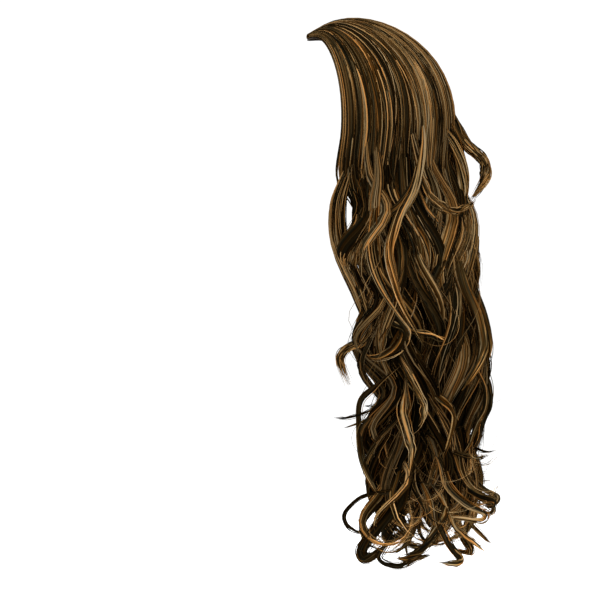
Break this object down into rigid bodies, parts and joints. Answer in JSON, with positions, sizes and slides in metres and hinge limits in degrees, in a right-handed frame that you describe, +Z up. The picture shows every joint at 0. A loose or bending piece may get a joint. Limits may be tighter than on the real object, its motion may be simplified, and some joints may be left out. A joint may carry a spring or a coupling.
{
  "type": "half wig",
  "caption": "Long wavy half wig of dark brown hair with caramel streaks on an open net cap, worn over the crown and back of the head behind a bare forehead",
  "frame": {"origin": "Inside of the cap at the top of the head, where the wig sits on the wearer's crown", "axes": "+Z up, +Y to the back of the head, +X to the wearer's left"},
  "size_m": [0.2129, 0.2105, 0.6028],
  "materials": {
    "hair": "glossy synthetic hair, dark brown with caramel and copper streaks",
    "cap_net": "open knitted net, dark brown, with a bound edge",
    "comb_plastic": "smooth dark brown plastic"
  },
  "bodies": {
    "root": {"cap": "cap_net", "front_comb": "comb_plastic", "crown_hair": "hair", "left_front_curl": "hair", "right_front_curl": "hair", "back_flick": "hair", "side_hook": "hair", "outer_lock_01": "hair", "outer_lock_02": "hair", "outer_lock_03": "hair", "outer_lock_04": "hair", "outer_lock_05": "hair", "outer_lock_06": "hair", "outer_lock_07": "hair", "outer_lock_08": "hair", "outer_lock_09": "hair", "outer_lock_10": "hair", "outer_lock_11": "hair", "outer_lock_12": "hair", "outer_lock_13": "hair", "outer_lock_14": "hair", "under_lock_01": "hair", "under_lock_02": "hair", "under_lock_03": "hair", "under_lock_04": "hair", "under_lock_05": "hair", "under_lock_06": "hair", "under_lock_07": "hair", "under_lock_08": "hair", "under_lock_09": "hair"}
  },
  "joints": []
}
